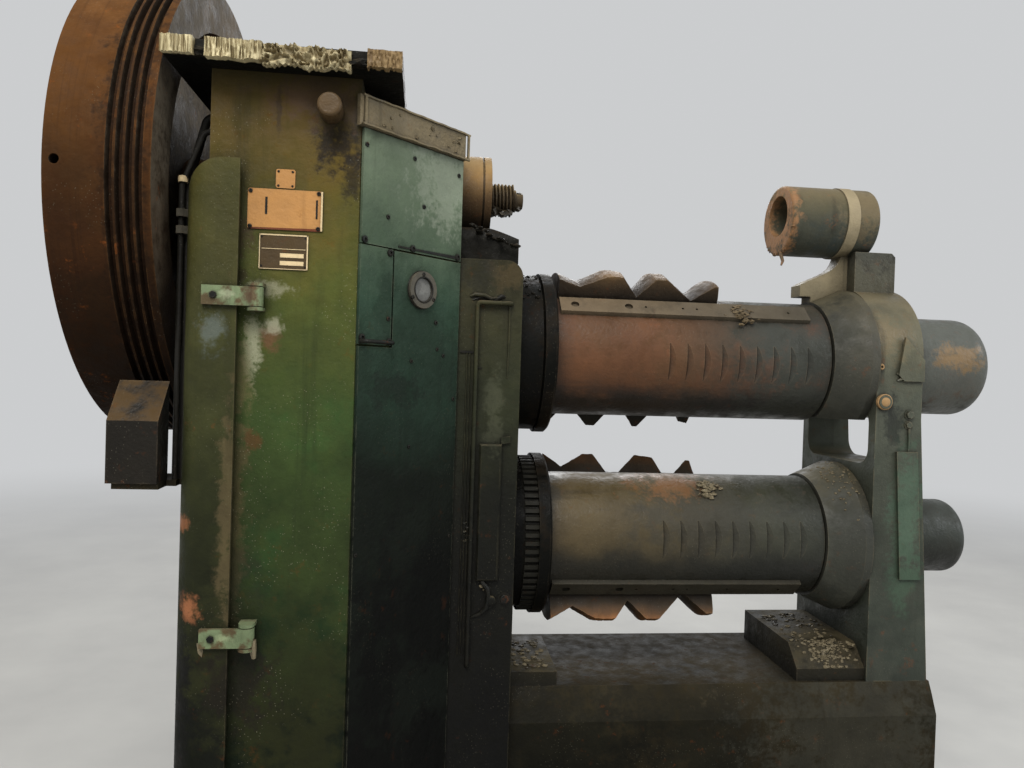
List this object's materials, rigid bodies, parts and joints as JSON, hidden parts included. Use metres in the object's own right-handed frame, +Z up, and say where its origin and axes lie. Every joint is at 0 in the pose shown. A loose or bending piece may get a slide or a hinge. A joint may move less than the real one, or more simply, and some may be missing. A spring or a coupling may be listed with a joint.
{
  "type": "forging roll machine",
  "caption": "Forging roll machine with two profiled die rolls between a gear housing and an outboard stand, with a belt flywheel and a hinged guard door.",
  "frame": {"origin": "on the floor, under the roll axes, at the middle of the roll barrels", "axes": "+X along the rolls away from the gear housing, +Y through the machine away from the operator, +Z up"},
  "size_m": [2.667, 1.268, 2.556],
  "materials": {
    "housing_paint": "faded green paint",
    "panel_paint": "dull blue-green paint",
    "cheek_paint": "oily dark olive paint",
    "stand_paint": "oily dark paint",
    "base_paint": "greasy dark paint",
    "wheel_rust": "rusty",
    "roll_steel": "greasy and rusty",
    "die_steel": "rusty",
    "tube_rust": "rusty",
    "bright_steel": "dull",
    "board_wood": "ragged",
    "plate_tan": "faded plate",
    "plate_dark": "dark plate",
    "hinge_green": "pale green paint",
    "box_tan": "tan paint",
    "hose_black": "matte",
    "window_glass": "dirty"
  },
  "bodies": {
    "machine": {"base_bed": "base_paint", "box_bracket": "base_paint", "cheek_cap": "cheek_paint", "cheek_cover": "cheek_paint", "cheek_pipe": "cheek_paint", "flywheel_bearing": "cheek_paint", "hatch_cover": "panel_paint", "hatch_handle": "bright_steel", "hinge_brackets": "hinge_green", "housing_body": "housing_paint", "housing_cheek": "cheek_paint", "left_foot_block": "base_paint", "left_hoses": "hose_black", "lifting_pin": "cheek_paint", "lower_collar": "stand_paint", "lower_panel": "panel_paint", "name_strip": "cheek_paint", "outboard_stand": "stand_paint", "rating_plate": "plate_dark", "right_foot_block": "base_paint", "sight_glass": "window_glass", "sight_glass_ring": "bright_steel", "small_plate": "plate_tan", "switch_box": "box_tan", "tie_boss": "cheek_paint", "tie_rod_stub": "bright_steel", "tie_tube": "tube_rust", "tie_web": "stand_paint", "top_board": "board_wood", "upper_collar": "stand_paint", "upper_panel": "panel_paint", "warning_plate": "plate_tan"},
    "upper_roll": {"upper_roll": "roll_steel", "upper_back_disc": "roll_steel", "upper_flange": "roll_steel", "upper_bar": "roll_steel", "upper_die": "die_steel"},
    "lower_roll": {"lower_roll": "roll_steel", "lower_gear": "roll_steel", "lower_flange": "roll_steel", "lower_bar": "roll_steel", "lower_die": "die_steel"},
    "flywheel": {"flywheel": "wheel_rust", "flywheel_shaft": "wheel_rust"},
    "guard_door": {"guard_door": "housing_paint", "door_straps": "hinge_green"}
  },
  "joints": [
    {"name": "upper_roll_spin", "type": "hinge", "parent": "machine", "child": "upper_roll", "pos_m": [0, 0, 1.56], "axis": [1, 0, 0], "continuous": true},
    {"name": "lower_roll_spin", "type": "hinge", "parent": "machine", "child": "lower_roll", "pos_m": [0, 0, 1], "axis": [1, 0, 0], "continuous": true},
    {"name": "flywheel_spin", "type": "hinge", "parent": "machine", "child": "flywheel", "pos_m": [0, 0, 1.926], "axis": [1, 0, 0], "continuous": true},
    {"name": "guard_door_hinge", "type": "hinge", "parent": "machine", "child": "guard_door", "pos_m": [-1.25, -0.572, 1.26], "axis": [0, 0, 1], "range_deg": [0, 100]}
  ],
  "couplings": [
    {"joint": "lower_roll_spin", "follows": "upper_roll_spin", "ratio": -1}
  ]
}
